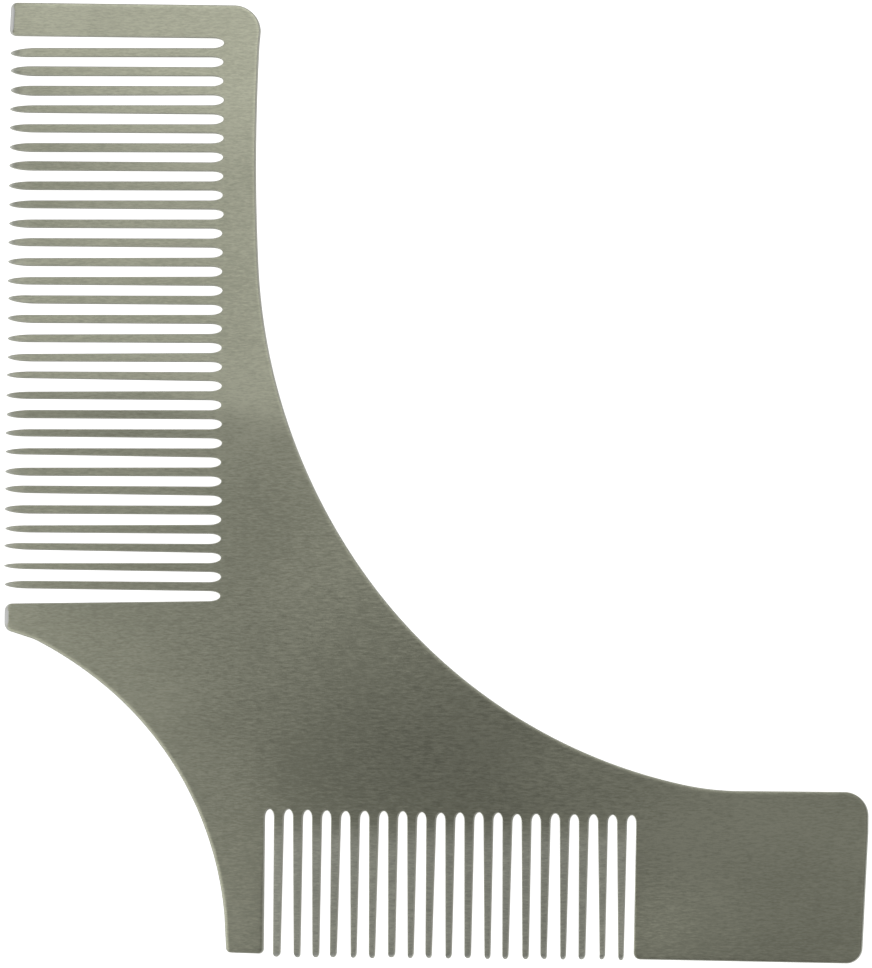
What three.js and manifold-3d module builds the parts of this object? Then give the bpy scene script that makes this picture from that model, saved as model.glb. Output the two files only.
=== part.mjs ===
// A beard shaping comb: one flat plate of brushed stainless steel, cut to an L. A long comb runs
// down the left arm and a short one along the foot, and between the arms the plate has a large
// hollow edge for the jaw and a small one, inside the heel, for the moustache and lip line.
//
// Millimetres. The plate lies flat on z = 0, with x = y = 0 at the middle of its overall size to
// a tenth of a millimetre, x to the handle tab and y to the top of the long comb. The outline runs
// anticlockwise.

import * as THREE from 'three';
import { mergeVertices } from 'three/addons/utils/BufferGeometryUtils.js';
import Module from 'manifold-3d';

// The plate
const HALF_HEIGHT = 60;
const RIGHT = 54.65;
const THICKNESS = 1.2;
const CURVE_STEPS = 5; // half the flats in each arc, from the smallest slot end to the jaw
const SAME_POINT = 1e-5; // points nearer than this are one

// The teeth of both combs. Slots have parallel spacing, and each tooth tapers to its nose.
const PITCH = 2.4;
const LONG_COMB = {
  slots: 30,
  rootCorner: new THREE.Vector2(-27.48, 54.95), // the bottom of the first slot
  pointing: Math.PI, // teeth point to -x
  toothLength: 27.07,
  slotWidth: 1.29,
  rootSlant: -0.0125, // how much further out each slot ends than the one before
  rootLength: 1.5, // the slot's end is half an ellipse this deep
  noseLength: 3, // and so is the tooth's nose
  noseWidths: [1.08, 0.83], // the teeth get slimmer from the first to the last
  grindLength: 1.2, // the nose is ground thinner on both faces
  grindDepth: 0.3,
};
const SHORT_COMB = {
  slots: 20,
  rootCorner: new THREE.Vector2(-20.6, -41.35),
  pointing: 1.5 * Math.PI, // teeth point to -y
  toothLength: 18.5,
  slotWidth: 1.22,
  rootSlant: 0.02,
  rootLength: 1,
  noseLength: 0.6,
  noseWidths: [0.72, 0.72],
  grindLength: 0.7,
  grindDepth: 0.2,
};

// The top bar above the long comb, a little deeper at its free end
const BAR = {
  topRight: new THREE.Vector2(-22.95, 59.68),
  topLeft: new THREE.Vector2(-54.62, HALF_HEIGHT),
  bottomLeft: new THREE.Vector2(-54.78, 55.82),
  cornerRadius: 0.8,
  shoulderRadius: 3.3, // where the bar meets the spine
};

// The beak below the long comb, and the small hollow edge that runs from it to the foot
const BEAK = { left: -54.47, top: -15.76, topRadius: 1, bottomRadius: 1.2 };
const LIP_START = new THREE.Vector2(-51.06, -20.08);
const LIP_HEADING = -17.5;
const LIP_ARCS = [[6, 9.5], [49, 11.3], [42.4, 46]]; // radius, degrees turned

// The foot beside the short comb, left of its first slot
const FOOT = {
  bottomLeft: new THREE.Vector2(-25.85, -59.34),
  bottomRight: new THREE.Vector2(-21.17, -59.46),
  cornerRadius: 0.6,
};

// The handle tab beside the last slot of the short comb
const TAB = {
  bottomLeft: new THREE.Vector2(25.46, -59.72),
  bottomRight: new THREE.Vector2(53.98, -HALF_HEIGHT),
  topRight: new THREE.Vector2(RIGHT, -38.58),
  slotCornerRadius: 0.8,
  outerCornerRadius: 2,
  topCornerRadius: 3,
  parallelDepth: 16.5, // the right-hand edge is square this far up, then leans
};

// The large hollow jaw edge, from the tab's top edge round to the spine
const JAW_START = new THREE.Vector2(38.58, TAB.topRight.y);
const JAW_HEADING = 180;
const JAW_ARCS = [[34.7, 11.85], [67.1, 41.4], [72.9, 33.4], [271, 5.85]];

const radians = THREE.MathUtils.degToRad;

// A point given along (s) and across (t) a comb, from the bottom of its first slot
function onComb(comb, s, t) {
  return new THREE.Vector2(s, t).rotateAround(new THREE.Vector2(), comb.pointing).add(comb.rootCorner);
}

// Where the straight wall of a slot begins, on the side that t gives
function slotWall(comb, slot, t) {
  return onComb(comb, comb.rootLength + slot * comb.rootSlant, t);
}

// Goes down each slot in turn, round its end, and out along the next tooth and round its nose
function cutComb(outline, comb) {
  const { slots, slotWidth, rootLength, noseLength, noseWidths, toothLength, pointing } = comb;
  const quarter = Math.PI / 2;
  for (let slot = 0; slot < slots; slot += 1) {
    const root = slotWall(comb, slot, slot * PITCH);
    outline.absellipse(root.x, root.y, rootLength, slotWidth / 2, -quarter, quarter, true, pointing);
    if (slot === slots - 1) return;
    const width = THREE.MathUtils.lerp(...noseWidths, slot / (slots - 2));
    const nose = onComb(comb, toothLength - noseLength, (slot + 0.5) * PITCH);
    outline.absellipse(nose.x, nose.y, noseLength, width / 2, -quarter, quarter, false, pointing);
  }
}

// Rounds the corner between two straight edges, with an arc that touches both
function roundCorner(outline, before, corner, after, radius) {
  const arriving = corner.clone().sub(before).normalize();
  const leaving = after.clone().sub(corner).normalize();
  const side = Math.sign(arriving.cross(leaving)); // 1 for a left turn
  const turn = Math.acos(arriving.dot(leaving));
  const inward = new THREE.Vector2(-arriving.y, arriving.x).multiplyScalar(side);
  const start = corner.clone().addScaledVector(arriving, -radius * Math.tan(turn / 2));
  const centre = start.clone().addScaledVector(inward, radius);
  const from = Math.atan2(-inward.y, -inward.x);
  outline.absarc(centre.x, centre.y, radius, from, from + side * turn, side < 0);
}

// Follows arcs that each start in the direction where the last one ended, turning right
function followArcs(outline, start, heading, arcs) {
  let point = start;
  let direction = radians(heading);
  for (const [radius, degrees] of arcs) {
    const toCentre = new THREE.Vector2(Math.sin(direction), -Math.cos(direction));
    const centre = point.clone().addScaledVector(toCentre, radius);
    const from = direction + Math.PI / 2;
    const to = from - radians(degrees);
    outline.absarc(centre.x, centre.y, radius, from, to, true);
    point = new THREE.Vector2(Math.cos(to), Math.sin(to)).multiplyScalar(radius).add(centre);
    direction -= radians(degrees);
  }
}

function plateOutline() {
  const outline = new THREE.Shape();
  const barWall = slotWall(LONG_COMB, 0, -LONG_COMB.slotWidth / 2);
  const spine = new THREE.Vector2(BAR.topRight.x, 0);
  roundCorner(outline, spine, BAR.topRight, BAR.topLeft, BAR.shoulderRadius);
  roundCorner(outline, BAR.topRight, BAR.topLeft, BAR.bottomLeft, BAR.cornerRadius);
  roundCorner(outline, BAR.topLeft, BAR.bottomLeft, barWall, BAR.cornerRadius);
  cutComb(outline, LONG_COMB);

  const beakTop = new THREE.Vector2(BEAK.left, BEAK.top);
  const lipSlope = new THREE.Vector2(Math.cos(radians(LIP_HEADING)), Math.sin(radians(LIP_HEADING)));
  const beakTip = LIP_START.clone().addScaledVector(lipSlope, (BEAK.left - LIP_START.x) / lipSlope.x);
  roundCorner(outline, new THREE.Vector2(0, BEAK.top), beakTop, beakTip, BEAK.topRadius);
  roundCorner(outline, beakTop, beakTip, LIP_START, BEAK.bottomRadius);
  followArcs(outline, LIP_START, LIP_HEADING, LIP_ARCS);

  const footWall = slotWall(SHORT_COMB, 0, -SHORT_COMB.slotWidth / 2);
  const lipEnd = new THREE.Vector2(FOOT.bottomLeft.x, 0);
  roundCorner(outline, lipEnd, FOOT.bottomLeft, FOOT.bottomRight, FOOT.cornerRadius);
  roundCorner(outline, FOOT.bottomLeft, FOOT.bottomRight, footWall, FOOT.cornerRadius);
  cutComb(outline, SHORT_COMB);

  const { bottomLeft, bottomRight, topRight } = TAB;
  const last = SHORT_COMB.slots - 1;
  const tabWall = slotWall(SHORT_COMB, last, last * PITCH + SHORT_COMB.slotWidth / 2);
  const lean = new THREE.Vector2(RIGHT, bottomRight.y + TAB.parallelDepth);
  roundCorner(outline, tabWall, bottomLeft, bottomRight, TAB.slotCornerRadius);
  roundCorner(outline, bottomLeft, bottomRight, lean, TAB.outerCornerRadius);
  outline.lineTo(lean.x, lean.y);
  roundCorner(outline, lean, topRight, JAW_START, TAB.topCornerRadius);
  followArcs(outline, JAW_START, JAW_HEADING, JAW_ARCS);
  return outline;
}

// A wedge lying along a comb's noses, over one face of a plate from z = 0 to THICKNESS
function grindingWedge(comb) {
  const { grindLength, grindDepth, toothLength, slots } = comb;
  const past = 1; // beyond the noses, and above the face
  const slope = grindDepth / grindLength;
  const section = new THREE.Shape([
    new THREE.Vector2(-grindLength, THICKNESS),
    new THREE.Vector2(past, THICKNESS - slope * (grindLength + past)),
    new THREE.Vector2(past, THICKNESS + past),
    new THREE.Vector2(-grindLength, THICKNESS + past),
  ]);
  const length = (slots - 1) * PITCH;
  const wedge = new THREE.ExtrudeGeometry(section, { depth: length, bevelEnabled: false });
  wedge.rotateX(Math.PI / 2); // section upright, length towards -y
  wedge.translate(toothLength, length, 0);
  wedge.rotateZ(comb.pointing);
  return wedge.translate(comb.rootCorner.x, comb.rootCorner.y, 0);
}

const wasm = await Module();
wasm.setup();

function toSolid(geometry) {
  const bare = geometry.index ? geometry.toNonIndexed() : geometry;
  bare.deleteAttribute('normal');
  bare.deleteAttribute('uv');
  const merged = mergeVertices(bare, SAME_POINT);
  const mesh = new wasm.Mesh({
    numProp: 3,
    vertProperties: new Float32Array(merged.attributes.position.array),
    triVerts: new Uint32Array(merged.index.array),
  });
  return new wasm.Manifold(mesh);
}

function toGeometry(solid) {
  const { vertProperties, triVerts } = solid.getMesh();
  const geometry = new THREE.BufferGeometry();
  geometry.setAttribute('position', new THREE.BufferAttribute(vertProperties, 3));
  geometry.setIndex(new THREE.BufferAttribute(triVerts, 1));
  geometry.computeVertexNormals();
  return geometry;
}

// Grinds the noses of one comb on the upper face, and on the under face with the wedge mirrored
function grindNoses(plate, comb) {
  const wedge = toSolid(grindingWedge(comb));
  const mirrored = wedge.scale([1, 1, -1]).translate([0, 0, THICKNESS]);
  return plate.subtract(wedge).subtract(mirrored);
}

function combPlate() {
  const blank = new THREE.ExtrudeGeometry(plateOutline(), {
    depth: THICKNESS,
    bevelEnabled: false,
    curveSegments: CURVE_STEPS,
  });
  const ground = [LONG_COMB, SHORT_COMB].reduce(grindNoses, toSolid(blank));
  const steel = new THREE.MeshStandardMaterial({ color: 0x8d9183, roughness: 0.38, metalness: 1 });
  const plate = new THREE.Mesh(toGeometry(ground), steel);
  plate.name = 'comb_plate';
  return plate;
}

const comb = new THREE.Group();
comb.add(combPlate());
export default comb;
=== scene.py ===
# %% [markdown]
# # A beard shaping comb in brushed steel
#
# The object is one flat plate of stainless steel, cut to an L, with a long comb on one arm and a
# short one along the foot. A barber lays its hollow edges against the jaw and trims along them.
# It is a plain thing, so everything that makes it look real is small: the rounding of the cut
# edges, the taper of the teeth, the noses ground thin by hand, and the brushed grain.
#
# This lesson rebuilds the plate's surface with numpy around the CAD frame, gives it two steels,
# and lights it as a small studio would.

import bpy
import numpy as np
from mathutils import Matrix, Vector
from mathutils.geometry import delaunay_2d_cdt


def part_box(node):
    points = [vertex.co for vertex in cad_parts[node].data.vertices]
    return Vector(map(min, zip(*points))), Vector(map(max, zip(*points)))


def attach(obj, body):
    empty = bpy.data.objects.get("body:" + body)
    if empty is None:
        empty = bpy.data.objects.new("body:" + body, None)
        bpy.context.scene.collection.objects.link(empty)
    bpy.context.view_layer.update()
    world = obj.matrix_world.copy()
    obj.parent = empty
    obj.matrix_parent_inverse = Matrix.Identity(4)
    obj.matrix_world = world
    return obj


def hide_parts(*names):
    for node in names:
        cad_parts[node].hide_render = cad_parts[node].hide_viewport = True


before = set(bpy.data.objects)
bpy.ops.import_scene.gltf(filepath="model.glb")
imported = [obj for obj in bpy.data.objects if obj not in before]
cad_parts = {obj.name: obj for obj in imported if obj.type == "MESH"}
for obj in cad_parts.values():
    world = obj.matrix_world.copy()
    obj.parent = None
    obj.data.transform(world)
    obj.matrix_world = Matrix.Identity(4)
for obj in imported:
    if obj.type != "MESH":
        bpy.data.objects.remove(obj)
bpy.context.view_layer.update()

cad_low, cad_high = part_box("comb_plate")
print("the CAD plate is", [round(side * 1000, 2) for side in cad_high - cad_low], "mm")

# %% [markdown]
# ## Where the camera stands
#
# The plate is seen almost square on, from a long way off, so that its sides stay parallel. The
# camera leans six degrees to the handle's side and three degrees to the foot's side, and the
# plate looks turned half a degree clockwise. Building the camera's three axes by hand, instead of
# tracking a target, keeps that small turn exact.

# %% The camera
METRES = 0.001  # one millimetre, because the drawing below is in millimetres
VIEW_DISTANCE = 1.8
LENS, SENSOR = 534.2, 36.0  # millimetres, as on a camera
LEAN = np.radians([6.27, -2.95])  # towards x and y
ROLL = np.radians(0.493)
AIM = Vector((-0.00002, -0.00042, cad_high.z))
FARTHEST_SEEN = 20

lean_angle = float(np.hypot(*LEAN))
lean_axis = Vector((-LEAN[1], LEAN[0], 0))
leaned = Matrix.Rotation(lean_angle, 3, lean_axis) @ Matrix.Rotation(ROLL, 3, "Z")
camera = bpy.data.objects.new("camera", bpy.data.cameras.new("camera"))
camera.data.lens, camera.data.sensor_width = LENS, SENSOR
camera.data.clip_end = FARTHEST_SEEN
camera.matrix_world = Matrix.LocRotScale(AIM + leaned.col[2] * VIEW_DISTANCE, leaned, None)
bpy.context.scene.collection.objects.link(camera)
bpy.context.scene.camera = camera
print("the camera stands at", [round(c, 3) for c in camera.matrix_world.translation])

# %% [markdown]
# ## The drawing
#
# The plate's outline is drawn the way a die maker would dimension it: straight edges, round
# corners, and two hollow edges made of arcs that run smoothly into each other. Each point of the
# outline carries six numbers: its place, the direction of travel there, how far the edge is
# rounded over, and how much of a nose's grinding it has had. Carrying the direction means that
# the rounded edge can be built square to the outline with no guessing from neighbours.

# %% Points that know their direction
def outline_run(points, directions, rounding, ground=0.0):
    """Rows of x, y, direction x, direction y, edge rounding, grinding, one for each point."""
    extra = np.broadcast_to(np.column_stack(np.broadcast_arrays(rounding, ground)), (len(points), 2))
    return np.column_stack((points, directions, extra))


ARC_TOLERANCE = 0.003  # how far a flat may cut inside a true arc
ROUNDING_SHARE = 0.8  # of the room inside an outer corner or a pointed nose


def arc(centre, radius, start, end, rounding):
    """Points at centre + radius * (cos a, sin a), with a going evenly from start to end. A pair
    of roundings goes evenly from the first to the second; all stay inside a tight outer corner."""
    flat = 2 * np.arccos(1 - ARC_TOLERANCE / radius)
    angle = np.linspace(start, end, 2 + int(abs(end - start) / flat))
    radial = np.column_stack((np.cos(angle), np.sin(angle)))
    travel = np.sign(end - start) * np.column_stack((-radial[:, 1], radial[:, 0]))
    rounding = np.linspace(*np.broadcast_to(rounding, 2), len(angle))
    if end > start:
        rounding = np.minimum(rounding, ROUNDING_SHARE * radius)
    return outline_run(centre + radius * radial, travel, rounding)


def round_corner(before, corner, after, radius, rounding):
    """An arc that touches both straight edges of a corner: it starts radius * tan(turn / 2) back."""
    before, corner, after = (np.array(p, float) for p in (before, corner, after))
    arriving = (corner - before) / np.linalg.norm(corner - before)
    leaving = (after - corner) / np.linalg.norm(after - corner)
    side = np.sign(arriving[0] * leaving[1] - arriving[1] * leaving[0])
    turn = np.arccos(arriving @ leaving)
    inward = side * np.array([-arriving[1], arriving[0]])
    centre = corner - arriving * radius * np.tan(turn / 2) + inward * radius
    start = np.arctan2(-inward[1], -inward[0])
    return arc(centre, radius, start, start + side * turn, rounding)


def follow_arcs(point, heading, arcs, rounding):
    """Arcs of given radius and turn, each starting where the last ended, all turning right."""
    runs, heading = [], np.radians(heading)
    for radius, turn in arcs:
        turn = np.radians(turn)
        centre = point + radius * np.array([np.sin(heading), -np.cos(heading)])
        start = heading + np.pi / 2
        runs.append(arc(centre, radius, start, start - turn, rounding))
        point, heading = runs[-1][-1, :2], heading - turn
    return np.concatenate(runs)


print("a quarter round of 3.3 mm has", len(arc(np.zeros(2), 3.3, 0, np.pi / 2, 0)) - 1, "flats")

# %% [markdown]
# ## The teeth
#
# A comb's slots are cut at an even pitch, and their ends are half ellipses, because a cutter that
# slows down at the end of a slot leaves it slightly pointed. The teeth are what is left between.
# Each nose is another half ellipse, and it was finished by hand on a belt, so no two are quite
# alike. A seeded random generator gives every nose its own small error in place, width, length
# and lean, and every slot its own depth, the same ones on every run.

# %% One comb's edge, all its teeth at once
PITCH = 2.4
TOOTH_ROUNDING = 0.09
GRIND_LEAD = 0.3  # a point this far before the grinding starts keeps the flat part flat
ROOT_FLATS, NOSE_FLATS, SIDE_POINTS = 12, 16, 9

LONG_COMB = dict(
    slots=30, root_corner=(-27.48, 54.95), root_slant=-0.0125, pointing=np.pi, tooth=27.07,
    slot=1.29, root=1.5, nose=3.0, nose_widths=(1.08, 0.83), grind=1.2, grind_depth=0.3,
)
SHORT_COMB = dict(
    slots=20, root_corner=(-20.6, -41.35), root_slant=0.02, pointing=1.5 * np.pi, tooth=18.5,
    slot=1.22, root=1.0, nose=0.6, nose_widths=(0.72, 0.72), grind=0.7, grind_depth=0.2,
)
NOSE_LENGTH_ERROR = 0.05  # the usual error
ROOT_ERROR, ROOT_WORST = 0.05, 0.1  # the usual error, and the largest one
NOSE_PLACE_ERROR, NOSE_PLACE_WORST = 0.07, 0.15
NOSE_SIDE_ERROR, NOSE_SIDE_WORST = 0.04, 0.08  # in half the width
NOSE_LEAN_ERROR, NOSE_LEAN_WORST = 0.06, 0.12


def on_comb(comb, s, t, ds, dt):
    """Turns s along the teeth and t across them, with their changes, into x, y and direction."""
    along = np.array([np.cos(comb["pointing"]), np.sin(comb["pointing"])])
    across = np.array([-along[1], along[0]])
    place = comb["root_corner"] + s[..., None] * along + t[..., None] * across
    travel = ds[..., None] * along + dt[..., None] * across
    return place, travel / np.linalg.norm(travel, axis=-1, keepdims=True)


def comb_edge(comb, seed):
    """Root ends (1 - sin a, -cos a) and noses (sin a, -cos a), a from 0 to pi, scaled to their
    half ellipses; a nose leans over by a little times sin a. Between them the sides are straight.
    One row of the arrays is one tooth."""
    rng = np.random.default_rng(seed)

    def error(usual, count, worst=np.inf):
        return rng.normal(0, usual, (count, 1)).clip(-worst, worst)

    slots, half_slot, root, grind = comb["slots"], comb["slot"] / 2, comb["root"], comb["grind"]
    slot_t = np.arange(slots)[:, None] * PITCH
    wall_s = root + np.arange(slots)[:, None] * comb["root_slant"]
    wall_s = wall_s + error(ROOT_ERROR, slots, ROOT_WORST)
    a = np.linspace(0, np.pi, ROOT_FLATS + 1)[None]
    ones = np.ones_like(slot_t)
    roots = on_comb(
        comb, wall_s - root * np.sin(a), slot_t - half_slot * np.cos(a),
        -root * np.cos(a) * ones, half_slot * np.sin(a) * ones,
    )

    teeth = slots - 1
    length = comb["tooth"] + error(NOSE_LENGTH_ERROR, teeth)
    middle = slot_t[:-1] + PITCH / 2 + error(NOSE_PLACE_ERROR, teeth, NOSE_PLACE_WORST)
    half = np.linspace(*comb["nose_widths"], teeth)[:, None] / 2
    half = half + error(NOSE_SIDE_ERROR, teeth, NOSE_SIDE_WORST)
    lean = error(NOSE_LEAN_ERROR, teeth, NOSE_LEAN_WORST)
    nose = comb["nose"]
    b = np.linspace(0, np.pi, NOSE_FLATS + 1)[None]
    noses = on_comb(
        comb, length - nose + nose * np.sin(b), middle - half * np.cos(b) + lean * np.sin(b),
        nose * np.cos(b) * np.ones_like(half), half * np.sin(b) + lean * np.cos(b),
    )
    room = half / nose * np.sqrt((half * np.sin(b)) ** 2 + (nose * np.cos(b)) ** 2)

    start = length - grind
    last = np.minimum(start, length - nose)  # the grinding or the nose, whichever comes first

    def side(wall_s, wall_t, nose_t):
        """One straight side of each tooth: places along it, places across it, and its slope."""
        slope = (nose_t - wall_t) / (length - nose - wall_s)
        s = wall_s + (last - GRIND_LEAD - wall_s) * np.linspace(0, 1, SIDE_POINTS)[None, 1:]
        s = np.concatenate((s, last), axis=1)
        return s, wall_t + slope * (s - wall_s), slope * np.ones_like(s)

    out_s, out_t, out_slope = side(wall_s[:-1], slot_t[:-1] + half_slot, middle - half)
    back_s, back_t, back_slope = side(wall_s[1:], slot_t[1:] - half_slot, middle + half)
    back_s, back_t = back_s[:, ::-1], back_t[:, ::-1]
    going_out = on_comb(comb, out_s, out_t, np.ones_like(out_s), out_slope)
    coming_back = on_comb(comb, back_s, back_t, -np.ones_like(back_s), -back_slope)

    def rows(run, rounding, ground):
        """The six columns, for a whole array of teeth."""
        columns = [np.broadcast_to(c, run[0].shape[:2])[..., None] for c in (rounding, ground)]
        return np.concatenate((*run, *columns), axis=2)

    def ground_share(s):
        return ((s - start) / grind).clip(0, 1)

    nose_rounding = np.minimum(TOOTH_ROUNDING, ROUNDING_SHARE * room)
    nose_s = length - nose + nose * np.sin(b)
    root_rows = rows(roots, TOOTH_ROUNDING, 0)
    teeth_rows = np.concatenate((
        root_rows[:-1],
        rows(going_out, TOOTH_ROUNDING, ground_share(out_s)),
        rows(noses, nose_rounding, ground_share(nose_s)),
        rows(coming_back, TOOTH_ROUNDING, ground_share(back_s)),
    ), axis=1)
    return np.concatenate((teeth_rows.reshape(-1, 6), root_rows[-1]))


long_edge, short_edge = comb_edge(LONG_COMB, seed=11), comb_edge(SHORT_COMB, seed=5)
print("long comb", len(long_edge), "points, short comb", len(short_edge), "points")

# %% [markdown]
# ## The whole outline
#
# The runs are joined anticlockwise, from the shoulder at the top right, over the bar, down the
# long comb, round the beak, along the small hollow edge, and home past the short comb, the tab
# and the large hollow edge. Long straight stretches then get points every millimetre or two, so
# that the light can vary along them.

# %% The body's corners and arcs
BAR_TOP_RIGHT, BAR_TOP_LEFT, BAR_BOTTOM_LEFT = (-22.95, 59.68), (-54.62, 60.0), (-54.78, 55.82)
FIRST_SLOT_WALL, LAST_SLOT_WALL = long_edge[0, :2], long_edge[-1, :2]
BEAK_TOP, LIP_START, LIP_HEADING = (-54.47, -15.76), np.array([-51.06, -20.08]), -17.5
BEAK_TIP = LIP_START + np.array([1, np.tan(np.radians(LIP_HEADING))]) * (BEAK_TOP[0] - LIP_START[0])
FOOT_LEFT, FOOT_RIGHT = (-25.85, -59.34), (-21.17, -59.46)
TAB_LEFT, TAB_RIGHT, TAB_LEAN, TAB_TOP = (
    (25.46, -59.72), (53.98, -60.0), (54.65, -43.5), (54.65, -38.58)
)
JAW_START = np.array([38.58, -38.58])
LIP_ARCS = [(6, 9.5), (49, 11.3), (42.4, 46)]  # radius, degrees
JAW_ARCS = [(34.7, 11.85), (67.1, 41.4), (72.9, 33.4), (271, 5.85)]
SHOULDER, BAR_CORNER, BEAK_UPPER, BEAK_LOWER, FOOT_CORNER = 3.3, 0.8, 1.0, 1.2, 0.6  # radii
TAB_SLOT_CORNER, TAB_LOWER, TAB_UPPER = 0.8, 2.0, 3.0
POINT_SPACING = 2.0
SAME_POINT = 1e-3  # points nearer than this are one
BODY_ROUNDING, END_ROUNDING = 0.11, 0.6  # the blunt ends are rounded again by hand


def edge_point(start, end, distance, rounding):
    """A point of a straight edge, at a distance from its start."""
    start, end = np.array(start), np.array(end)
    heading = (end - start) / np.linalg.norm(end - start)
    return outline_run((start + heading * distance)[None], heading[None], rounding)


def plate_outline():
    """All the runs in order, with double points dropped and long straight edges divided."""
    r, end, tooth = BODY_ROUNDING, END_ROUNDING, TOOTH_ROUNDING
    bar_end, beak_end = BAR_TOP_LEFT[1] - BAR_BOTTOM_LEFT[1], BEAK_TOP[1] - BEAK_TIP[1]
    runs = [
        round_corner((BAR_TOP_RIGHT[0], 0), BAR_TOP_RIGHT, BAR_TOP_LEFT, SHOULDER, r),
        round_corner(BAR_TOP_RIGHT, BAR_TOP_LEFT, BAR_BOTTOM_LEFT, BAR_CORNER, (r, end)),
        edge_point(BAR_TOP_LEFT, BAR_BOTTOM_LEFT, bar_end / 2, end),
        round_corner(BAR_TOP_LEFT, BAR_BOTTOM_LEFT, FIRST_SLOT_WALL, BAR_CORNER, (end, tooth)),
        long_edge,
        round_corner(LAST_SLOT_WALL, BEAK_TOP, BEAK_TIP, BEAK_UPPER, (tooth, end)),
        edge_point(BEAK_TOP, BEAK_TIP, beak_end / 2, end),
        round_corner(BEAK_TOP, BEAK_TIP, LIP_START, BEAK_LOWER, (end, r)),
        follow_arcs(LIP_START, LIP_HEADING, LIP_ARCS, r),
        round_corner((FOOT_LEFT[0], 0), FOOT_LEFT, FOOT_RIGHT, FOOT_CORNER, r),
        round_corner(FOOT_LEFT, FOOT_RIGHT, short_edge[0, :2], FOOT_CORNER, r),
        short_edge,
        round_corner(short_edge[-1, :2], TAB_LEFT, TAB_RIGHT, TAB_SLOT_CORNER, r),
        round_corner(TAB_LEFT, TAB_RIGHT, TAB_LEAN, TAB_LOWER, r),
        edge_point(TAB_LEAN, TAB_TOP, 0, r),
        round_corner(TAB_LEAN, TAB_TOP, JAW_START, TAB_UPPER, r),
        follow_arcs(JAW_START, 180, JAW_ARCS, r),
    ]
    run = np.concatenate(runs)
    apart = np.linalg.norm(run[:, :2] - np.roll(run[:, :2], 1, axis=0), axis=1)
    run = run[apart > SAME_POINT]
    onward = np.roll(run, -1, axis=0) - run
    pieces = np.ceil(np.linalg.norm(onward[:, :2], axis=1) / POINT_SPACING).astype(int)
    which = np.repeat(np.arange(len(run)), pieces)
    share = (np.arange(len(which)) - np.repeat(np.cumsum(pieces) - pieces, pieces)) / pieces[which]
    divided = run[which] + share[:, None] * onward[which]
    divided[:, 2:4] /= np.linalg.norm(divided[:, 2:4], axis=1, keepdims=True)
    return divided


outline = plate_outline()
steps = np.linalg.norm(np.roll(outline[:, :2], -1, axis=0) - outline[:, :2], axis=1)
print(f"outline: {len(outline)} points, {steps.sum():.0f} mm round, steps {steps.min():.3f} to "
      f"{steps.max():.2f} mm")
print("outline size", np.ptp(outline[:, :2], axis=0).round(2), "mm")

# %% [markdown]
# ## The rounded edge
#
# After cutting, the plate is tumbled with abrasive stones, which take every sharp edge down to a
# small quarter round, a tenth of a millimetre across. The blunt ends of the bar and the beak are
# rounded much more, because they touch skin. In section the rim is a quarter round, an upright
# wall, and another quarter round. That section is carried along the outline, square to the
# direction of travel. One more ring lies on the flat face, half a millimetre in on the body and
# close behind the rounding on the teeth. The stones rub the band outside it a little brighter.
#
# The same cell works out where the steel is a lighter, cooler tone: the short comb's teeth, and
# more lightly the noses of the long comb.

# %% Carry the section along the outline
HALF_THICKNESS = 0.6
QUARTER_FLATS = 4
RING_ROUNDINGS = (0, TOOTH_ROUNDING, BODY_ROUNDING, END_ROUNDING)
RING_OFFSETS = (0, 1.1 * TOOTH_ROUNDING, 0.5, 0.7)  # how far in the extra ring lies for each
LIGHTER_TONE_FADE = 3.5  # millimetres over which the lighter tone comes in
LONG_NOSE_STRENGTH = 0.35  # its strength on the long comb's noses; it is 1 on the short comb


def carry_section(path, grind_depth):
    """Row k, point i: the outline point, moved inwards by rounding * (1 - sin q), at a height of
    half thickness - rounding * (1 - cos q) above the middle, q from 0 to 90 degrees; the lower
    half is the same upside down. A nose falls away like a quarter ellipse, by depth times
    1 - sqrt(1 - share * share). The first and last rows are the extra flat rings."""
    place, travel, rounding, ground = path[:, :2], path[:, 2:4], path[:, 4], path[:, 5]
    inward = np.column_stack((-travel[:, 1], travel[:, 0]))
    q = np.linspace(0, np.pi / 2, QUARTER_FLATS + 1)[:, None]
    top = HALF_THICKNESS - grind_depth * (1 - np.sqrt(1 - ground ** 2))
    ring = np.interp(rounding, RING_ROUNDINGS, RING_OFFSETS)
    offset = np.concatenate((ring[None], rounding * (1 - np.sin(q))))
    height = np.concatenate((top[None], top - rounding * (1 - np.cos(q))))
    offset = np.concatenate((offset, offset[::-1]))
    height = np.concatenate((height, -height[::-1]))
    moved = place[None] + offset[..., None] * inward[None]
    return np.concatenate((moved, height[..., None] + HALF_THICKNESS), axis=2)


def along_teeth(comb, places):
    """How far each place lies along a comb's teeth from its root line, or -1 beside the comb."""
    along = np.round([np.cos(comb["pointing"]), np.sin(comb["pointing"])])
    from_corner = places - comb["root_corner"]
    t = from_corner @ (-along[1], along[0])
    beside = (t < 0) | (t > PITCH * (comb["slots"] - 1))
    return np.where(beside, -1, from_corner @ along)


on_long, on_short = (along_teeth(comb, outline[:, :2]) for comb in (LONG_COMB, SHORT_COMB))
short_comb_lightening = ((on_short - SHORT_COMB["root"]) / LIGHTER_TONE_FADE).clip(0, 1)
long_nose_lightening = ((on_long - LONG_COMB["tooth"]) / LIGHTER_TONE_FADE + 1).clip(0, 1)
lighter_teeth_share = short_comb_lightening + LONG_NOSE_STRENGTH * long_nose_lightening
grind_depth = np.where(on_short > 0, SHORT_COMB["grind_depth"], LONG_COMB["grind_depth"])
rim = carry_section(outline, grind_depth)
print("the rim has", rim.shape[0], "rows of", rim.shape[1], "points, from", rim[..., 2].min(), "to",
      rim[..., 2].max(), "mm high")

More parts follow.
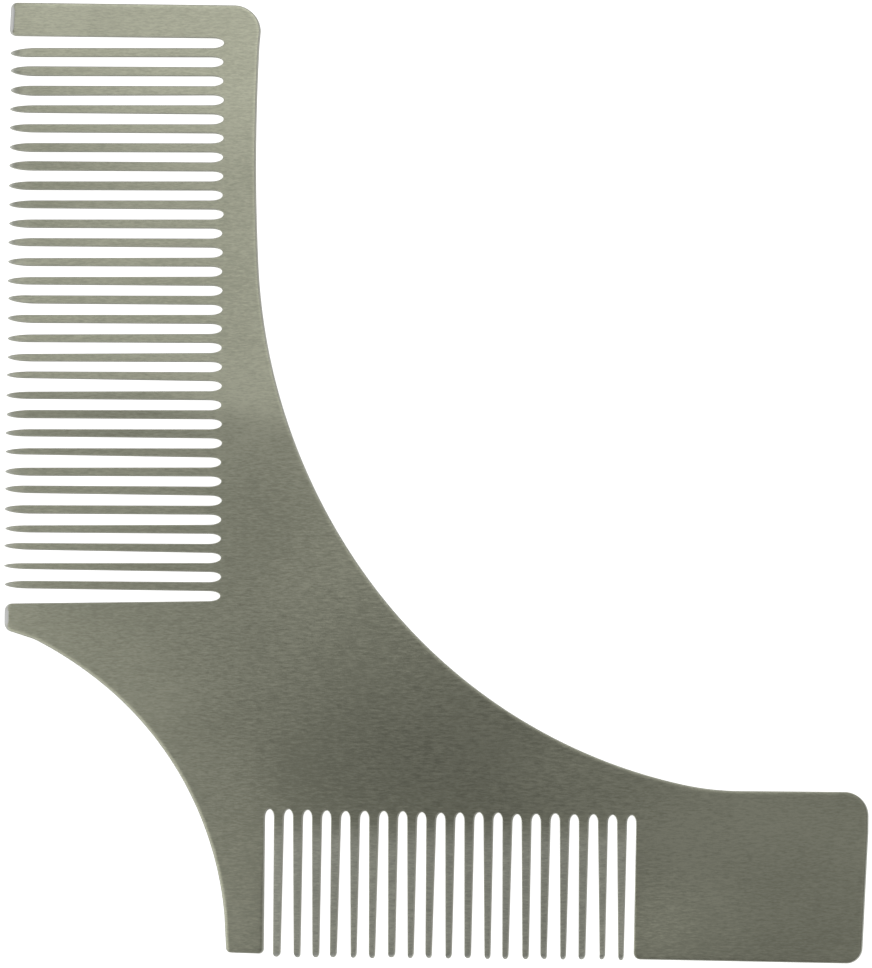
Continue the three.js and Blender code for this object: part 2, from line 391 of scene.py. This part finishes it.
# %% [markdown]
# ## The flat faces
#
# The flat face is bounded by a ring with forty-eight teeth in it. A constrained Delaunay
# triangulation fills such a shape with well formed triangles and adds no points, so the faces
# meet the rim vertex to vertex and the plate is one closed shell. The under face uses the same
# triangles, turned over.

# %% Fill the faces
FILL_INSIDE = 1  # the triangulation's code for keeping only what lies inside the ring
WELD = 1e-6  # points nearer than this would be joined


def fill_ring(ring):
    """Triangles, as rows of three point numbers, that fill a closed ring, all anticlockwise."""
    points = [Vector(p) for p in ring]
    edges = [(i, (i + 1) % len(ring)) for i in range(len(ring))]
    places, _, triangles, sources, *_ = delaunay_2d_cdt(points, edges, [], FILL_INSIDE, WELD)
    source = np.array([s[0] for s in sources])
    found = source[np.array(triangles)]
    a, b, c = (ring[found[:, k]] for k in range(3))
    area = (b[:, 0] - a[:, 0]) * (c[:, 1] - a[:, 1]) - (b[:, 1] - a[:, 1]) * (c[:, 0] - a[:, 0])
    found[area < 0] = found[area < 0][:, ::-1]
    return found, abs(area).sum() / 2


face, face_area = fill_ring(rim[0, :, :2])
print("each face:", len(face), "triangles,", round(face_area), "square mm")

# %% Join the rim and the faces into one mesh
def plate_mesh(name):
    """Quads between neighbouring rows of the rim, the first face, and the last one turned over."""
    rows, count = rim.shape[:2]
    number = np.arange(rows * count).reshape(rows, count)
    ahead = np.roll(number, -1, axis=1)
    quads = np.stack((number[:-1], number[1:], ahead[1:], ahead[:-1]), axis=-1).reshape(-1, 4)
    under = face[:, ::-1] + (rows - 1) * count
    mesh = bpy.data.meshes.new(name)
    mesh.from_pydata((rim.reshape(-1, 3) * METRES).tolist(), [],
                     quads.tolist() + face.tolist() + under.tolist())
    blunt = (outline[:, 4] - BODY_ROUNDING) / (END_ROUNDING - BODY_ROUNDING)
    rubbed = np.ones((rows, count))
    rubbed[[0, -1]] = 0
    rubbed *= np.interp(outline[:, 4], RING_ROUNDINGS, (0, 0, 1, 1))
    for field, values in (("ground_nose", outline[:, 5]), ("blunt_end", blunt.clip(0, 1)),
                          ("lighter_teeth_share", lighter_teeth_share), ("rubbed_edge", rubbed)):
        attribute = mesh.attributes.new(field, "FLOAT", "POINT")
        values = np.broadcast_to(values, (rows, count)).ravel().astype(np.float32)
        attribute.data.foreach_set("value", values)
    flat_place = rim[..., :2].reshape(-1, 2) * METRES
    corners = np.empty(len(mesh.loops), np.int32)
    mesh.loops.foreach_get("vertex_index", corners)
    grain_map = mesh.uv_layers.new(name="grain")
    grain_map.data.foreach_set("uv", flat_place[corners].astype(np.float32).ravel())
    flat_band = np.isin(np.arange(rows - 1), (0, rows - 2))
    slots = np.concatenate((np.repeat(~flat_band, count), np.zeros(2 * len(face), bool)))
    mesh.polygons.foreach_set("material_index", slots.astype(np.int32))
    mesh.polygons.foreach_set("use_smooth", np.ones(len(mesh.polygons), bool))
    mesh.update()
    return mesh


plate = bpy.data.objects.new("comb_plate_steel", plate_mesh("comb_plate_steel"))
bpy.context.scene.collection.objects.link(plate)
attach(plate, "root")
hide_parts("comb_plate")
print("plate:", len(plate.data.vertices), "vertices,", len(plate.data.polygons), "faces, not valid"
      if plate.data.validate() else "faces, valid")

# %% [markdown]
# ## The grain of brushed steel
#
# The sheet is brushed by an abrasive belt that runs across it in one direction, before the shape
# is cut, so every stretch of the comb has the same grain, teeth and tab alike. A fine belt leaves
# short streaks, a millimetre or two long and a third of a millimetre wide, and finer ones among
# them. A noise texture gives that when its coordinates are divided by more along the streak than
# across it. It is a node group, because the cut edge uses the same grain with other lengths.

# %% The grain group
def new_group(name, inputs, outputs):
    """An empty shader node group with named sockets, and its two end nodes."""
    group = bpy.data.node_groups.new(name, "ShaderNodeTree")
    for socket_name, kind, value in inputs:
        socket = group.interface.new_socket(socket_name, in_out="INPUT", socket_type=kind)
        if value is not None:
            socket.default_value = value
    for socket_name, kind in outputs:
        group.interface.new_socket(socket_name, in_out="OUTPUT", socket_type=kind)
    return group, group.nodes.new("NodeGroupInput"), group.nodes.new("NodeGroupOutput")


def add_node(tree, kind, settings=None, **inputs):
    """A node with its own settings; each input is a value or another node's output."""
    node = tree.nodes.new(kind)
    for key, value in (settings or {}).items():
        setattr(node, key, value)
    for key, value in inputs.items():
        socket = node.inputs[int(key[1:])] if key[0] == "i" and key[1:].isdigit() else node.inputs[key]
        if isinstance(value, bpy.types.NodeSocket):
            tree.links.new(value, socket)
        else:
            socket.default_value = value
    return node


def math(tree, operation, *values, clamp=False):
    """The output of a Math node; MULTIPLY_ADD takes three values, and the others two."""
    settings = {"operation": operation, "use_clamp": clamp}
    inputs = {f"i{place}": value for place, value in enumerate(values)}
    return add_node(tree, "ShaderNodeMath", settings, **inputs).outputs[0]


def ramp(tree, value, start, end, low, high):
    """A smooth step: low where value is at start, high where it is at end."""
    limits = {"From Min": start, "From Max": end, "To Min": low, "To Max": high}
    settings = {"interpolation_type": "SMOOTHSTEP"}
    return add_node(tree, "ShaderNodeMapRange", settings, Value=value, **limits).outputs[0]


FLOAT, VECTOR = "NodeSocketFloat", "NodeSocketVector"
FINER = 2.6  # how many times smaller the fine streaks are


def make_grain_group():
    """Two noises, a coarse and a fine one, with x divided by Length and y and z by Width."""
    group, given, result = new_group(
        "brushed_grain",
        [("Vector", VECTOR, None), ("Length", FLOAT, 0.0014), ("Width", FLOAT, 0.0003)],
        [("Streaks", FLOAT), ("Fine", FLOAT)],
    )
    widths = add_node(group, "ShaderNodeCombineXYZ", X=given.outputs["Length"],
                      Y=given.outputs["Width"], Z=given.outputs["Width"])
    squeezed = add_node(group, "ShaderNodeVectorMath", {"operation": "DIVIDE"},
                        i0=given.outputs["Vector"], i1=widths.outputs[0])
    finer = add_node(group, "ShaderNodeVectorMath", {"operation": "SCALE"},
                     i0=squeezed.outputs[0], Scale=FINER)
    for vector, detail, socket in ((squeezed, 2.0, "Streaks"), (finer, 1.0, "Fine")):
        noise = add_node(group, "ShaderNodeTexNoise", Vector=vector.outputs[0], Scale=1.0,
                         Detail=detail, Roughness=0.55)
        group.links.new(noise.outputs[0], result.inputs[socket])
    return group


grain_group = make_grain_group()
print("group", grain_group.name, "gives", [s.name for s in grain_group.interface.items_tree
                                            if s.in_out == "OUTPUT"])

# %% [markdown]
# ## Clouds
#
# No belt presses evenly. Here and there the sheet comes out a little brighter or duller, in soft
# patches one or two centimetres across, drawn out along the grain.

# %% The clouds group
def make_clouds_group():
    """One low noise, its middle spread over 0 to 1 by Contrast."""
    group, given, result = new_group(
        "belt_clouds",
        [("Vector", VECTOR, None), ("Size", FLOAT, 0.017), ("Stretch", FLOAT, 1.7),
         ("Contrast", FLOAT, 1.9)],
        [("Cloud", FLOAT)],
    )
    long_size = math(group, "MULTIPLY", given.outputs["Size"], given.outputs["Stretch"])
    sizes = add_node(group, "ShaderNodeCombineXYZ", X=long_size, Y=given.outputs["Size"],
                     Z=given.outputs["Size"])
    scaled = add_node(group, "ShaderNodeVectorMath", {"operation": "DIVIDE"},
                      i0=given.outputs["Vector"], i1=sizes.outputs[0])
    noise = add_node(group, "ShaderNodeTexNoise", Vector=scaled.outputs[0], Scale=1.0, Detail=3.0,
                     Roughness=0.5)
    centred = math(group, "SUBTRACT", noise.outputs[0], 0.5)
    spread = math(group, "MULTIPLY_ADD", centred, given.outputs["Contrast"], 0.5)
    limited = math(group, "MINIMUM", math(group, "MAXIMUM", spread, 0.0), 1.0)
    group.links.new(limited, result.inputs["Cloud"])
    return group


clouds_group = make_clouds_group()
print("group", clouds_group.name, "takes", [s.name for s in clouds_group.interface.items_tree
                                            if s.in_out == "INPUT"])

# %% [markdown]
# ## Patches
#
# A few patches are big enough to be told apart: the steel is darker or lighter there over one or two
# centimetres. Noise can't be told where to put such a patch, so each one is given its place,
# with a centre, a size and a strength.

# %% The patch group
def make_patch_group():
    """(1 - d * d) squared inside the ellipse, and 0 outside: d is the distance from Centre, with
    x, y and z each divided by Size."""
    group, given, result = new_group(
        "tone_patch", [("Vector", VECTOR, None), ("Centre", VECTOR, None), ("Size", VECTOR, None)],
        [("Mask", FLOAT)],
    )
    moved = add_node(group, "ShaderNodeVectorMath", {"operation": "SUBTRACT"},
                     i0=given.outputs["Vector"], i1=given.outputs["Centre"])
    scaled = add_node(group, "ShaderNodeVectorMath", {"operation": "DIVIDE"},
                      i0=moved.outputs[0], i1=given.outputs["Size"])
    squared = add_node(group, "ShaderNodeVectorMath", {"operation": "DOT_PRODUCT"},
                       i0=scaled.outputs[0], i1=scaled.outputs[0]).outputs["Value"]
    inside = math(group, "SUBTRACT", 1.0, squared, clamp=True)
    group.links.new(math(group, "MULTIPLY", inside, inside), result.inputs["Mask"])
    return group


patch_group = make_patch_group()
PATCH_DEPTH = 0.05  # a patch runs right through the plate
PATCHES = [  # centre x and y, half width, half height, all in metres, and strength
    (0.0055, -0.034, 0.030, 0.014, -0.22),
    (-0.024, -0.052, 0.008, 0.022, 0.22),
    (0.029, -0.057, 0.016, 0.012, 0.20),
    (0.050, -0.050, 0.012, 0.020, -0.05),
    (-0.0395, 0.038, 0.036, 0.012, -0.15),
    (-0.0395, 0.009, 0.022, 0.009, -0.12),
    (-0.0095, -0.011, 0.016, 0.022, 0.14),
    (0.017, -0.035, 0.012, 0.006, 0.15),
    (-0.052, 0.058, 0.010, 0.008, 0.15),
    (0.028, -0.056, 0.008, 0.008, 0.15),
    (-0.045, -0.004, 0.018, 0.0115, 0.15),
]
print(len(PATCHES), "patches, strengths", [patch[-1] for patch in PATCHES])

# %% [markdown]
# ## The brushed face
#
# Stainless steel is a metal, so its colour is the colour of its reflection: a grey that leans to
# olive. Streaks and clouds move that colour, the streaks move the roughness a little, and a bump
# node tilts the light across them. Four things are laid over the steel, one after another:
#
# - painted shade: below a sloping line at about the middle of the plate, the steel is painted
#   a shade darker, a share of the light's fall-off from the bar to the heel;
# - a lighter, cooler tone on the short comb's teeth and, more lightly, on the long comb's noses;
# - the band along the edges, rubbed brighter;
# - the lighter and darker patches.
#
# At the noses the grinding has taken the grain away and left a lighter, cooler, more even metal.

# %% The face's material
STEEL_DARK, STEEL_LIGHT = (0.44, 0.45, 0.345, 1), (0.60, 0.61, 0.475, 1)
GROUND_STEEL, GROUND_ROUGHNESS = (0.68, 0.69, 0.66, 1), 0.5
FACE_ROUGHNESS, GRAIN_ANISOTROPY = 0.32, 0.3
STREAK_TONE, FINE_TONE, STREAK_ROUGHNESS = 1.5, 1.9, 0.12
RUBBED_TONE = 0.20  # how much brighter the face is along its edges
ACROSS_THE_GRAIN = 0.25  # of a turn
NOSE_FALLOFF = 1.5  # keeps the ground tone near the very end of a nose
FACE_BUMP, BUMP_HEIGHT = 0.08, 0.00003
# painted shade: a sloping line across the plate, and the darker tone painted below it
SHADE_LINE_PLACE, SHADE_LINE_SOFTNESS, SHADE_LINE_SLOPE, SHADE_LINE_WANDER = 0.0058, 0.0025, 0.12, 0.002
PAINTED_SHADE_TONE = (0.75, 0.75, 0.75, 1)
LIGHTER_TEETH_TONE = (1.55, 1.55, 1.69, 1)  # lighter and cooler


def new_material(name, metallic):
    """An empty node material with a Principled shader."""
    material = bpy.data.materials.new(name)
    material.use_nodes = True
    tree = material.node_tree
    tree.nodes.clear()
    shader = add_node(tree, "ShaderNodeBsdfPrincipled", Metallic=metallic)
    output = tree.nodes.new("ShaderNodeOutputMaterial")
    tree.links.new(shader.outputs[0], output.inputs[0])
    return material, tree, shader


def add_group(tree, group, vector, **values):
    """A node group placed in a material, with its own values."""
    node = add_node(tree, "ShaderNodeGroup", {"node_tree": group}, Vector=vector, **values)
    return node.outputs


def mix(tree, factor, first, second, blend="MIX"):
    """The colour output of a Mix node, whose inputs 6 and 7 are its two colours."""
    settings = {"data_type": "RGBA", "blend_type": blend}
    node = add_node(tree, "ShaderNodeMix", settings, Factor=factor, i6=first, i7=second)
    return node.outputs[2]


def object_place(tree):
    """The place on the object, in metres."""
    return tree.nodes.new("ShaderNodeTexCoord").outputs["Object"]


def attribute(tree, field):
    """A value that the mesh carries at each of its points."""
    return add_node(tree, "ShaderNodeAttribute", {"attribute_name": field}).outputs["Fac"]


def painted_shade_share(tree, coordinates, cloud):
    """Painted shade: 1 below a sloping line and 0 above it. The line wanders a little with the clouds.
    """
    place = add_node(tree, "ShaderNodeSeparateXYZ", Vector=coordinates).outputs
    level = math(tree, "MULTIPLY_ADD", place["X"], SHADE_LINE_SLOPE, place["Y"])
    wander = math(tree, "SUBTRACT", cloud, 0.5)
    level = math(tree, "MULTIPLY_ADD", wander, SHADE_LINE_WANDER, level)
    return ramp(tree, level, SHADE_LINE_PLACE + SHADE_LINE_SOFTNESS, SHADE_LINE_PLACE - SHADE_LINE_SOFTNESS, 0.0, 1.0)


def brightness(tree, coordinates):
    """A grey to multiply the steel by: 1, more along the edges, and changed by each patch."""
    strength = math(tree, "MULTIPLY_ADD", attribute(tree, "rubbed_edge"), RUBBED_TONE, 1.0)
    for x, y, half_width, half_height, change in PATCHES:
        mask = add_group(tree, patch_group, coordinates, Centre=(x, y, 0),
                         Size=(half_width, half_height, PATCH_DEPTH))["Mask"]
        strength = math(tree, "MULTIPLY_ADD", mask, change, strength)
    grey = add_node(tree, "ShaderNodeCombineColor", Red=strength, Green=strength, Blue=strength)
    return grey.outputs[0]


# %% Put the face's material together
def make_face_material():
    """The steel's tone first, then its roughness and the grain's direction, then its bumps."""
    material, tree, shader = new_material("brushed_face", 1.0)
    coordinates = object_place(tree)
    grain = add_group(tree, grain_group, coordinates, Length=0.0014, Width=0.0003)
    clouds = add_group(tree, clouds_group, coordinates, Size=0.017, Stretch=1.7, Contrast=1.9)
    streak = math(tree, "SUBTRACT", grain["Streaks"], 0.5)
    fine = math(tree, "SUBTRACT", grain["Fine"], 0.5)
    nose_share = math(tree, "POWER", attribute(tree, "ground_nose"), NOSE_FALLOFF)

    tone = math(tree, "MULTIPLY_ADD", streak, STREAK_TONE, clouds["Cloud"])
    tone = math(tree, "MULTIPLY_ADD", fine, FINE_TONE, tone)
    steel = mix(tree, tone, STEEL_DARK, STEEL_LIGHT)
    # painted shade: below the line the steel is painted darker, a share of the light's fall-off
    painted_shade = painted_shade_share(tree, coordinates, clouds["Cloud"])
    steel = mix(tree, painted_shade, steel, PAINTED_SHADE_TONE, "MULTIPLY")
    # a lighter, cooler tone on the short comb's teeth and, more lightly, on the long comb's noses
    steel = mix(tree, attribute(tree, "lighter_teeth_share"), steel, LIGHTER_TEETH_TONE, "MULTIPLY")
    steel = mix(tree, 1.0, steel, brightness(tree, coordinates), "MULTIPLY")
    tree.links.new(mix(tree, nose_share, steel, GROUND_STEEL), shader.inputs["Base Color"])

    roughness = math(tree, "MULTIPLY_ADD", streak, STREAK_ROUGHNESS, FACE_ROUGHNESS)
    added = GROUND_ROUGHNESS - FACE_ROUGHNESS
    roughness = math(tree, "MULTIPLY_ADD", nose_share, added, roughness)
    tree.links.new(roughness, shader.inputs["Roughness"])
    shader.inputs["Anisotropic"].default_value = GRAIN_ANISOTROPY
    shader.inputs["Anisotropic Rotation"].default_value = ACROSS_THE_GRAIN
    along = add_node(tree, "ShaderNodeTangent", {"direction_type": "UV_MAP", "uv_map": "grain"})
    tree.links.new(along.outputs[0], shader.inputs["Tangent"])

    height = math(tree, "ADD", grain["Streaks"], grain["Fine"])
    bump = add_node(tree, "ShaderNodeBump", Strength=FACE_BUMP, Distance=BUMP_HEIGHT, Height=height)
    tree.links.new(bump.outputs[0], shader.inputs["Normal"])
    return material


plate.data.materials.append(make_face_material())
print("face material nodes:", len(plate.data.materials[0].node_tree.nodes))

# %% [markdown]
# ## The deburred edge
#
# The tumbling stones leave the rounded edges a little lighter than the face and with no clear
# direction. The grain group again gives their fine dimples, with a length of only twice the
# width. The blunt ends of the bar and the beak are finished by hand on a soft wheel, so they are
# lighter still, and more neutral in colour.

# %% The edge's material
EDGE_DARK, EDGE_LIGHT = (0.50, 0.51, 0.43, 1), (0.64, 0.65, 0.56, 1)
BLUNT_END_STEEL = (0.70, 0.705, 0.695, 1)
EDGE_ROUGHNESS, BLUNT_END_ROUGHNESS, DIMPLE_ROUGHNESS = 0.32, 0.42, 0.12
EDGE_BUMP = 0.05


def make_edge_material():
    """Steel between two tones, by the clouds, and a third tone at the blunt ends."""
    material, tree, shader = new_material("deburred_edge", 1.0)
    coordinates = object_place(tree)
    grain = add_group(tree, grain_group, coordinates, Length=0.0006, Width=0.0003)
    clouds = add_group(tree, clouds_group, coordinates, Size=0.009, Stretch=1.0, Contrast=1.6)
    steel = mix(tree, clouds["Cloud"], EDGE_DARK, EDGE_LIGHT)
    blunt = attribute(tree, "blunt_end")
    tree.links.new(mix(tree, blunt, steel, BLUNT_END_STEEL), shader.inputs["Base Color"])
    dimple = math(tree, "SUBTRACT", grain["Streaks"], 0.5)
    roughness = math(tree, "MULTIPLY_ADD", dimple, DIMPLE_ROUGHNESS, EDGE_ROUGHNESS)
    added = BLUNT_END_ROUGHNESS - EDGE_ROUGHNESS
    roughness = math(tree, "MULTIPLY_ADD", blunt, added, roughness)
    tree.links.new(roughness, shader.inputs["Roughness"])
    bump = add_node(tree, "ShaderNodeBump", Strength=EDGE_BUMP, Distance=BUMP_HEIGHT,
                    Height=grain["Streaks"])
    tree.links.new(bump.outputs[0], shader.inputs["Normal"])
    return material


plate.data.materials.append(make_edge_material())
print("the plate's materials:", [m.name for m in plate.data.materials])

# %% [markdown]
# ## The table
#
# Small shiny parts are often shown on a lit acrylic sheet: it is white from edge to edge and
# takes away nearly every shadow. It also lights the upright walls of the slots from below, which
# is what parts one tooth from the next.

# %% The floor
FLOOR_HALF = 6.0
FLOOR_GAP = 0.00005
SEEN_GLOW, GIVEN_GLOW = 0.9, 0.2  # brightness to the eye, and as a lamp
ACRYLIC, ACRYLIC_ROUGHNESS, WHITE = (0.9, 0.9, 0.9, 1), 0.6, (1, 1, 1, 1)


def make_floor():
    """A square of four points, white and softly lit from within."""
    corners = np.array([(-1, -1), (1, -1), (1, 1), (-1, 1)]) * FLOOR_HALF
    mesh = bpy.data.meshes.new("table")
    points = np.column_stack((corners, np.full(4, cad_low.z - FLOOR_GAP)))
    mesh.from_pydata(points.tolist(), [], [(0, 1, 2, 3)])
    material, tree, shader = new_material("lit_acrylic", 0.0)
    for name, value in (("Base Color", ACRYLIC), ("Roughness", ACRYLIC_ROUGHNESS),
                        ("Emission Color", WHITE)):
        shader.inputs[name].default_value = value
    seen = tree.nodes.new("ShaderNodeLightPath").outputs["Is Camera Ray"]
    glow = math(tree, "MULTIPLY_ADD", seen, SEEN_GLOW - GIVEN_GLOW, GIVEN_GLOW)
    tree.links.new(glow, shader.inputs["Emission Strength"])
    mesh.materials.append(material)
    floor = bpy.data.objects.new("table", mesh)
    bpy.context.scene.collection.objects.link(floor)
    return floor


print("the table lies at", round(make_floor().data.vertices[0].co.z * 1000, 3), "mm")

# %% [markdown]
# ## The room and the lights
#
# A flat metal face shows whatever lies in the mirror direction, and here that is nearly straight
# above. So the room is dark straight above, and three softboxes hang there instead: the key light
# over the bar, one to the left and a weak one over the tab. Because the steel blurs them, they
# fade into one another across the plate, light at the bar and dark at the heel. Lower down the
# room is evenly lit, so the rounded edges, which look sideways, stay as light as the face. It is
# lighter on the left, where the blunt ends of the bar and the beak look.

# %% The room
ROOM_LEVEL, ROOM_LEFT_LEVEL = 0.5, 0.82
ZENITH_EDGE, ROOM_EDGE = np.cos(np.radians([10, 42]))  # dark straight above, full from here down
LEFT_START, LEFT_FULL = -0.25, -0.8  # how far to the left a direction points, as its x


def make_room():
    """Brightness from the direction: 0 straight above, rising to Level lower down, where Level is
    itself higher towards the left."""
    world = bpy.data.worlds.new("room")
    world.use_nodes = True
    tree = world.node_tree
    tree.nodes.clear()
    direction = tree.nodes.new("ShaderNodeTexCoord").outputs["Generated"]
    parts = add_node(tree, "ShaderNodeSeparateXYZ", Vector=direction).outputs
    lowness = ramp(tree, parts["Z"], ZENITH_EDGE, ROOM_EDGE, 0.0, 1.0)
    level = ramp(tree, parts["X"], LEFT_START, LEFT_FULL, ROOM_LEVEL, ROOM_LEFT_LEVEL)
    strength = math(tree, "MULTIPLY", lowness, level)
    background = add_node(tree, "ShaderNodeBackground", Strength=strength, Color=WHITE)
    output = tree.nodes.new("ShaderNodeOutputWorld")
    tree.links.new(background.outputs[0], output.inputs[0])
    return world


bpy.context.scene.world = make_room()

# %% The softboxes
SOFTBOX_HEIGHT = 0.30
LIT_PLACE = Vector((-0.02, 0, 0))  # what all three face


def softbox(name, x, y, size, radiance):
    """A square area light that faces the lit place; its power is radiance * area * pi."""
    light = bpy.data.lights.new(name, "AREA")
    light.shape, light.size = "SQUARE", size
    light.energy = radiance * size * size * np.pi
    box = bpy.data.objects.new(name, light)
    box.visible_camera = False
    place = Vector((x, y, SOFTBOX_HEIGHT))
    back = (place - LIT_PLACE).to_track_quat("Z", "Y")
    box.matrix_world = Matrix.LocRotScale(place, back, None)
    bpy.context.scene.collection.objects.link(box)
    print(name, "gives", round(light.energy, 3), "watts")


softbox("key_softbox", -0.026, 0.112, 0.153, 1.14)
softbox("left_softbox", -0.136, -0.046, 0.10, 1.85)
softbox("tab_softbox", 0.05, -0.044, 0.10, 0.56)

bpy.context.scene.view_settings.view_transform = "Standard"
bpy.context.scene.view_settings.look = "None"
